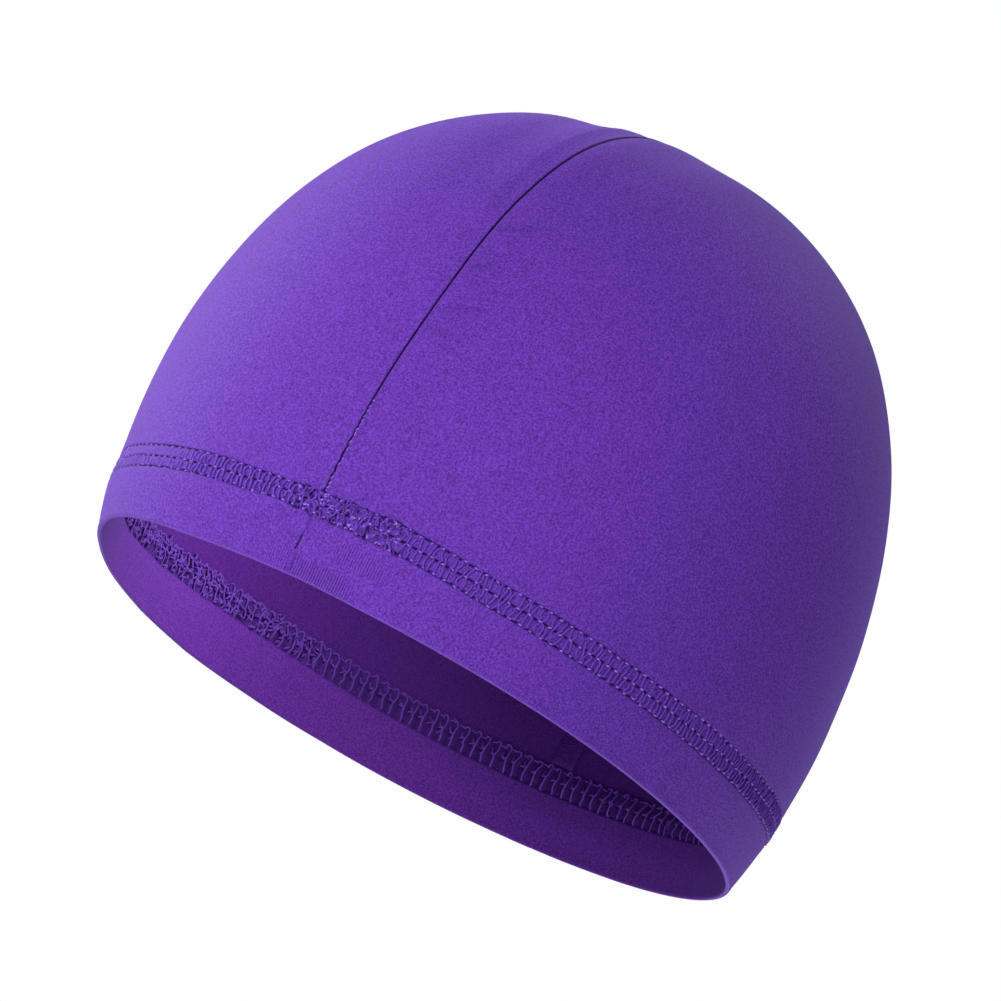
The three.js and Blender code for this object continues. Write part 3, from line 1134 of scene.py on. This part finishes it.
def crease_stitches(material):
    """Needle stitches that show beside the centre seam's line just above the flat seam."""
    rng = np.random.default_rng(43)
    share = np.linspace(0, 1, 6)
    lift = 0.16 - 0.9 * (share - 0.5) ** 2
    paths = []
    distance = 0.6
    while distance < CREASE_STITCHES_END:
        slant = rng.uniform(0.2, 1.0)
        reach = rng.uniform(0.35, 0.6)
        paths.append(beside_seam(distance + slant * share, 0.22 + reach * share, lift))
        distance += rng.uniform(1.0, 2.3)
    return thread_mesh("centre_seam_needle_thread", paths, CREASE_THREAD, 6, material)


# Where the joint's thread shows, as heights and how far beside the front
JOINT_THREADS = (
    {"top": 13.4, "bottom": 9.9, "aside_top": 0.3, "aside_bottom": 0.25},
    {"top": 9.3, "bottom": 5.8, "aside_top": 0.42, "aside_bottom": 0.1},
    {"top": 3.6, "bottom": 0.9, "aside_top": 0.5, "aside_bottom": 0.28},
)


def joint_thread(material):
    """The thread of the hem's own joint, which shows beside its line at the front."""
    share = np.linspace(0, 1, 7)
    lift = 0.02 - 0.5 * (2 * share - 1) ** 6
    paths = []
    for row in JOINT_THREADS:
        height = row["top"] + (row["bottom"] - row["top"]) * share
        aside = row["aside_top"] + (row["aside_bottom"] - row["aside_top"]) * share
        paths.append(on_outside(np.stack([aside, height, lift], -1)))
    return thread_mesh("hem_joint_thread", paths, JOINT_THREAD, 6, material)


# Materials

def linear(hex_colour):
    """An sRGB hex colour as linear red, green, blue and alpha."""
    parts = [int(hex_colour[i:i + 2], 16) / 255 for i in (0, 2, 4)]
    return (*(c / 12.92 if c <= 0.04045 else ((c + 0.055) / 1.055) ** 2.4 for c in parts), 1.0)


def add_node(tree, kind, inputs=None, **settings):
    """Adds a node with its settings, and fills its inputs with values, sockets, or nodes' first outputs."""
    node = tree.nodes.new("ShaderNode" + kind)
    for name, value in settings.items():
        setattr(node, name, value)
    for name, value in (inputs or {}).items():
        if isinstance(value, bpy.types.Node):
            value = next(output for output in value.outputs if output.enabled)
        if isinstance(value, bpy.types.NodeSocket):
            tree.links.new(value, node.inputs[name])
        else:
            node.inputs[name].default_value = value
    return node


# Colours of the cloth's shaded and bright filaments, its shade under threads, and the threads
JERSEY_DARK = "512489"
JERSEY_LIGHT = "7840ca"
# The inside colours are darker, redder copies of the jersey's: painted shade on the hem's inner face, and
# darker still on the crown's inside, which is partly the wrong side's own duller tone and partly painted
# shade
HEM_INSIDE_DARK = "4f2180"
HEM_INSIDE_LIGHT = "7030a8"
CROWN_INSIDE_DARK = "40166a"
CROWN_INSIDE_LIGHT = "5a1e8c"
BETWEEN_STITCHES = "2a0f5c"
COVER_COLOUR = "6f3cc0"
NEEDLE_COLOUR = "a878f4"
LOOPER_COLOUR = "8c4cd8"
EDGE_COLOUR = "4c1c7c"
# the next colour is a painted highlight along the hem's fold
FOLD_HIGHLIGHT_COLOUR = "9268de"
JERSEY_BLOOM = "a093ee"
THREAD_BLOOM = "9c8cf0"

GRAIN = 0.45  # the knit's loops are about 0.3, drawn coarser so that they show
BLOTCH = 9.0  # slow changes in the dye
JERSEY_RELIEF = 0.14
PLY_TURN = 0.7  # length of one turn of a thread's plies
PLY_RELIEF = 0.03

# Where the stretched hem shows its wales: along the seam from the front, and height above the rim
WALE_PATCHES = (
    {"along": (0.6, 15.0), "height": (0.0, 4.2), "show": 1.0},
    {"along": (9.0, 21.0), "height": (6.6, 11.0), "show": 0.6},
    {"along": (SEAM_LENGTH - 7.0, SEAM_LENGTH - 0.8), "height": (0.5, 5.0), "show": 0.45},
)
WALE = 0.69  # from one wale to the next; real ones are about 0.3, drawn coarser so that they show


def wale_mask(tree, place):
    """How much the wales show at a place on the hem: a soft patch for each row of WALE_PATCHES."""
    apart = add_node(tree, "SeparateXYZ", {"Vector": place})
    shown = 0.0
    for patch in WALE_PATCHES:
        product = patch["show"]
        for axis, (first, last), soft in (("X", patch["along"], 4.0), ("Y", patch["height"], 1.5)):
            for start, end in ((first - soft / 2, first + soft / 2), (last + soft, last - soft / 2)):
                edge = add_node(tree, "MapRange", {
                    "Value": apart.outputs[axis], "From Min": start, "From Max": end},
                    interpolation_type="SMOOTHSTEP")
                product = add_node(tree, "Math", {0: product, 1: edge},
                                   operation="MULTIPLY")
        shown = add_node(tree, "Math", {0: shown, 1: product}, operation="ADD")
    stripe = add_node(tree, "Math", {0: apart.outputs["X"], 1: 2 * math.pi / WALE}, operation="MULTIPLY")
    wave = add_node(tree, "Math", {0: stripe}, operation="SINE")
    return add_node(tree, "Math", {0: wave, 1: shown}, operation="MULTIPLY")


def empty_material(name):
    """A new material without nodes, and its node tree."""
    material = bpy.data.materials.new(name)
    material.use_nodes = True
    material.node_tree.nodes.clear()
    return material, material.node_tree


def stitch_shade(tree, lit, dark, most):
    """The painted shade that the mesh stores between stitches, from 0 where it is lit up to the most where it
    is dark.
    """
    shade = add_node(tree, "Attribute", attribute_name="stitch_shade")
    return add_node(tree, "MapRange", {
        "Value": shade.outputs["Fac"], "From Min": lit, "From Max": dark, "To Max": most})


def needle_rows(tree, place):
    """Painted shade along the three needle rows: how dark the cloth is there, most half a stitch from each
    needle's dot.
    """
    apart = add_node(tree, "SeparateXYZ", {"Vector": place})
    dark = 0.0
    for row in NEEDLE_ROWS:
        above = add_node(tree, "Math", {0: apart.outputs["Y"], 1: row["height"]}, operation="SUBTRACT")
        beside = add_node(tree, "Math", {0: above}, operation="ABSOLUTE")
        line = add_node(tree, "MapRange", {
            "Value": beside, "From Min": 0.4, "From Max": 0.1},
            interpolation_type="SMOOTHSTEP")
        turn = -2 * math.pi * (row["phase"] + 0.5)
        stitch = add_node(tree, "Math", {0: apart.outputs["X"], 1: 2 * math.pi / PITCH, 2: turn},
                          operation="MULTIPLY_ADD")
        wave = add_node(tree, "Math", {0: stitch}, operation="COSINE")
        depth = add_node(tree, "Math", {0: wave, 1: 0.32, 2: 0.66}, operation="MULTIPLY_ADD")
        dark = add_node(tree, "Math", {0: line, 1: depth, 2: dark}, operation="MULTIPLY_ADD")
    return dark


def painted_fold_highlight(tree, place, colour):
    """The cloth's colour with a painted highlight that makes it paler round the hem's fold."""
    apart = add_node(tree, "SeparateXYZ", {"Vector": place})
    beside = add_node(tree, "Math", {0: apart.outputs["Y"]}, operation="ABSOLUTE")
    fold = add_node(tree, "MapRange", {
        "Value": beside, "From Min": 0.6, "From Max": 0.3, "To Max": 0.4})
    return add_node(tree, "Mix", {
        "Factor": fold, "A": colour, "B": linear(FOLD_HIGHLIGHT_COLOUR)}, data_type="RGBA")


def knitted_jersey(name, dark, light, stretched=False):
    """Knitted nylon and elastane jersey, dyed and heat-set: matt, with a fine even grain of bright and
    shaded filaments, and a pale bloom where it turns away. Stretched, it shows its wales, and a painted
    highlight makes its fold paler. Painted shade darkens it along the needle rows and between stitches."""
    material, tree = empty_material(name)
    place = add_node(tree, "TexCoord")
    cloth_place = add_node(tree, "UVMap", uv_map="cloth_mm")
    grain = add_node(tree, "TexNoise", {
        "Vector": place.outputs["Object"], "Scale": 1 / (GRAIN * MM), "Detail": 1.0, "Roughness": 0.6})
    blotch = add_node(tree, "TexNoise", {
        "Vector": place.outputs["Object"], "Scale": 1 / (BLOTCH * MM), "Detail": 2.0, "Roughness": 0.5})
    spread = add_node(tree, "MapRange", {
        "Value": grain, "From Min": 0.28, "From Max": 0.72, "To Min": -0.23, "To Max": 1.07},
        clamp=False)
    mixing = add_node(tree, "Math", {0: blotch, 1: 0.16, 2: spread}, operation="MULTIPLY_ADD")
    height = grain
    if stretched:
        shown = wale_mask(tree, cloth_place)
        mixing = add_node(tree, "Math", {0: shown, 1: 0.8, 2: mixing}, operation="MULTIPLY_ADD")
        height = add_node(tree, "Math", {0: shown, 1: height}, operation="ADD")
    colour = add_node(tree, "Mix", {
        "Factor": mixing, "A": linear(dark), "B": linear(light)}, data_type="RGBA")
    # Painted shade: the needle rows and the mesh's stitch_shade darken the cloth towards BETWEEN_STITCHES
    shade = add_node(tree, "Math", {
        0: needle_rows(tree, cloth_place), 1: stitch_shade(tree, 0.0, 1.0, 1.0)}, operation="MAXIMUM")
    shaded = add_node(tree, "Mix", {
        "Factor": shade, "A": colour, "B": linear(BETWEEN_STITCHES)},
        data_type="RGBA")
    if stretched:
        # painted highlight: the fold's edge is mixed towards a paler colour
        shaded = painted_fold_highlight(tree, cloth_place, shaded)
    bump = add_node(tree, "Bump", {
        "Height": height, "Strength": 0.8, "Distance": JERSEY_RELIEF * MM})
    surface = add_node(tree, "BsdfPrincipled", {
        "Base Color": shaded, "Roughness": 0.8, "IOR": 1.5, "Specular IOR Level": 0.2,
        "Sheen Weight": 0.25, "Sheen Roughness": 0.4, "Sheen Tint": linear(JERSEY_BLOOM),
        "Normal": bump})
    add_node(tree, "OutputMaterial", {"Surface": surface})
    return material


def spun_thread(name, colour, gloss, flanks):
    """Textured polyester thread: soft and slightly brighter than the cloth, with the turns of its plies.
    Little light reaches its flanks, between the stitches."""
    material, tree = empty_material(name)
    shaded = add_node(tree, "Mix", {
        "Factor": stitch_shade(tree, 0.05, 0.26, flanks), "A": linear(colour),
        "B": linear(BETWEEN_STITCHES)}, data_type="RGBA")
    place = add_node(tree, "UVMap", uv_map="cloth_mm")
    apart = add_node(tree, "SeparateXYZ", {"Vector": place})
    turn = add_node(tree, "Math", {0: apart.outputs["X"], 1: 1 / PLY_TURN, 2: apart.outputs["Y"]},
                    operation="MULTIPLY_ADD")
    angle = add_node(tree, "Math", {0: turn, 1: 4 * math.pi}, operation="MULTIPLY")
    plies = add_node(tree, "Math", {0: angle}, operation="SINE")
    bump = add_node(tree, "Bump", {
        "Height": plies, "Strength": 0.5, "Distance": PLY_RELIEF * MM})
    surface = add_node(tree, "BsdfPrincipled", {
        "Base Color": shaded, "Roughness": 0.65 - 0.3 * gloss, "IOR": 1.5,
        "Specular IOR Level": 0.25 + 0.2 * gloss, "Sheen Weight": 0.12, "Sheen Roughness": 0.5,
        "Sheen Tint": linear(THREAD_BLOOM), "Normal": bump})
    add_node(tree, "OutputMaterial", {"Surface": surface})
    return material


FLOOR_PALENESS = 0.96  # what the lights' own share on the floor brings up to white


def studio_floor():
    """Matt white paint, which the camera sees as pale as the air behind it."""
    material = bpy.data.materials.new("painted_studio_floor")
    material.use_nodes = True
    tree = material.node_tree
    seen = add_node(tree, "LightPath")
    surface = tree.nodes["Principled BSDF"]
    surface.inputs["Base Color"].default_value = linear("e8e8e8")
    surface.inputs["Roughness"].default_value = 0.9
    surface.inputs["Emission Color"].default_value = linear("ffffff")
    brightness = add_node(tree, "Math", {0: seen.outputs["Is Camera Ray"], 1: FLOOR_PALENESS},
                          operation="MULTIPLY")
    tree.links.new(brightness.outputs["Value"], surface.inputs["Emission Strength"])
    return material


# Studio

VIEW_AZIMUTH = 24.577
VIEW_ELEVATION = -11.25
VIEW_ROLL = 27.914
VIEW_DISTANCE = 2806.45
LOOK_HEIGHT = 70.0
PHOTO_SIDE = 1001
FOCAL_PIXELS = 12042.6
AXIS_X = 550.59  # where the picture shows the point at LOOK_HEIGHT over the origin
AXIS_Y = 453.77
SENSOR = 36.0
FLOOR_HEIGHT = -0.62
FLOOR_HALF_SIDE = 30.0
AIR_LIGHT = 0.02  # how much the air lights the cap, where the camera sees it as white
LIGHT_DISTANCE = 0.95
LIGHT_SIZE = 0.6
# The way to each light from the middle of the cap
LIGHTS = (
    {"name": "key_from_the_right_side", "x": -0.974, "y": 0.067, "z": 0.214, "watts": 7.6},
    {"name": "key_from_right_and_front", "x": -0.905, "y": -0.424, "z": 0.035, "watts": 2.6},
    {"name": "front", "x": -0.009, "y": -0.995, "z": 0.096, "watts": 6.5},
    {"name": "top_from_behind", "x": 0.202, "y": 0.471, "z": 0.859, "watts": 4.3},
    {"name": "low_from_behind", "x": 0.313, "y": 0.810, "z": -0.496, "watts": 3.5},
    {"name": "low_from_left_and_front", "x": 0.719, "y": -0.550, "z": -0.425, "watts": 2.2},
)
# The thin stretched cloth lets a little light through, most on the wearer's right, where the keys stand
GLOW_PLACE = Vector((-28, -7, 59))
GLOW_AIM = Vector((-80, 30, -2))
GLOW_SIZE = 0.035
GLOW_SPREAD = 116.0
GLOW_WATTS = 0.031


def photo_camera():
    """The camera, where the photograph's was: below the rim's plane and turned on its side."""
    azimuth, elevation, roll = (math.radians(a) for a in (VIEW_AZIMUTH, VIEW_ELEVATION, VIEW_ROLL))
    back = Vector((
        math.sin(azimuth) * math.cos(elevation),
        -math.cos(azimuth) * math.cos(elevation),
        math.sin(elevation),
    ))
    level_right = Vector((math.cos(azimuth), math.sin(azimuth), 0))
    level_up = back.cross(level_right)
    right = level_right * math.cos(roll) + level_up * math.sin(roll)
    up = level_up * math.cos(roll) - level_right * math.sin(roll)
    target = Vector((0, 0, LOOK_HEIGHT))
    place = target + back * VIEW_DISTANCE
    scale = VIEW_DISTANCE / FOCAL_PIXELS
    aim = target + right * (PHOTO_SIDE / 2 - AXIS_X) * scale - up * (PHOTO_SIDE / 2 - AXIS_Y) * scale
    back = (place - aim).normalized()
    right = up.cross(back).normalized()
    up = back.cross(right)
    turned = Matrix((right, up, back)).transposed().to_4x4()
    data = bpy.data.cameras.new("photo_camera")
    data.sensor_width = SENSOR
    data.lens = FOCAL_PIXELS * SENSOR / PHOTO_SIDE
    data.clip_start = 0.1
    data.clip_end = 100
    camera = bpy.data.objects.new("photo_camera", data)
    camera.matrix_world = Matrix.Translation(place * MM) @ turned
    bpy.context.scene.collection.objects.link(camera)
    bpy.context.scene.camera = camera


def soft_light(name, place, aim, size, watts, spread=180.0):
    """A square soft light, which isn't seen itself."""
    data = bpy.data.lights.new(name, "AREA")
    data.size = size
    data.energy = watts
    data.spread = math.radians(spread)
    light = bpy.data.objects.new(name, data)
    light.location = place
    light.rotation_euler = (aim - place).to_track_quat("-Z", "Y").to_euler()
    light.visible_camera = False
    bpy.context.scene.collection.objects.link(light)


def studio():
    """A pale floor far below the cap, soft lights, and white air all round."""
    side = FLOOR_HALF_SIDE
    mesh = bpy.data.meshes.new("floor")
    corners = [(-side, -side), (side, -side), (side, side), (-side, side)]
    mesh.from_pydata([(x, y, FLOOR_HEIGHT) for x, y in corners], [], [(0, 1, 2, 3)])
    mesh.materials.append(studio_floor())
    floor = bpy.data.objects.new("floor", mesh)
    bpy.context.scene.collection.objects.link(floor)
    middle = Vector((0, 0, LOOK_HEIGHT * MM))
    for light in LIGHTS:
        way = Vector((light["x"], light["y"], light["z"]))
        soft_light(light["name"], middle + way * LIGHT_DISTANCE, middle, LIGHT_SIZE, light["watts"])
    soft_light("glow_through_the_cloth", GLOW_PLACE * MM, GLOW_AIM * MM, GLOW_SIZE, GLOW_WATTS,
               GLOW_SPREAD)
    world = bpy.data.worlds.new("studio_air")
    bpy.context.scene.world = world
    world.use_nodes = True
    tree = world.node_tree
    tree.nodes.clear()
    seen = add_node(tree, "LightPath")
    strength = add_node(tree, "MapRange", {
        "Value": seen.outputs["Is Camera Ray"], "To Min": AIR_LIGHT, "To Max": 1.0})
    air = add_node(tree, "Background", {
        "Color": linear("ffffff"), "Strength": strength})
    add_node(tree, "OutputWorld", {"Surface": air})
    bpy.context.scene.view_settings.view_transform = "Standard"


# The cap

def finish_piece(piece, slot, *nodes):
    """The cloth has no joint, so each piece rides on the root."""
    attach(piece, "root")
    if nodes:
        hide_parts(*nodes)


photo_camera()
studio()
jersey = knitted_jersey("nylon_elastane_jersey", JERSEY_DARK, JERSEY_LIGHT)
hem_jersey = knitted_jersey("stretched_hem_jersey_painted_fold_highlight", JERSEY_DARK, JERSEY_LIGHT, stretched=True)
# The two inside materials are darker copies of the jersey, as painted shade
hem_inside_jersey = knitted_jersey("nylon_jersey_inside_hem_painted_shade", HEM_INSIDE_DARK, HEM_INSIDE_LIGHT)
inside_jersey = knitted_jersey("jersey_wrong_side_painted_shade", CROWN_INSIDE_DARK, CROWN_INSIDE_LIGHT)
cover_thread = spun_thread("textured_polyester_thread", COVER_COLOUR, gloss=0.0, flanks=0.55)
bright_thread = spun_thread("corespun_needle_thread", NEEDLE_COLOUR, gloss=1.0, flanks=0.6)
looper_thread = spun_thread("looper_thread", LOOPER_COLOUR, gloss=0.0, flanks=0.7)
edge_thread = spun_thread("overlock_thread", EDGE_COLOUR, gloss=0.0, flanks=0.1)

for half, side in (("left", 1), ("right", -1)):
    panel = crown_panel(f"crown_cloth_{half}", side, jersey, inside_jersey)
    finish_piece(panel, "crown_jersey", f"crown_panel_{half}")
finish_piece(hem_band(hem_jersey, hem_inside_jersey), "hem_jersey", "hem_band")
finish_piece(allowance_strip(inside_jersey), "seam_edges", "seam_allowance")
finish_piece(outer_cover(cover_thread), "hem_jersey")
finish_piece(needle_thread(bright_thread), "hem_jersey")
finish_piece(overlap_loops(cover_thread), "hem_jersey")
finish_piece(overlap_dots(bright_thread), "hem_jersey")
finish_piece(inner_looper(looper_thread), "hem_jersey")
finish_piece(inner_net(looper_thread), "hem_jersey")
finish_piece(inner_chain(looper_thread), "hem_jersey")
finish_piece(overlock_threads(edge_thread), "seam_edges")
finish_piece(crease_stitches(bright_thread), "seam_edges")
finish_piece(joint_thread(bright_thread), "hem_jersey")
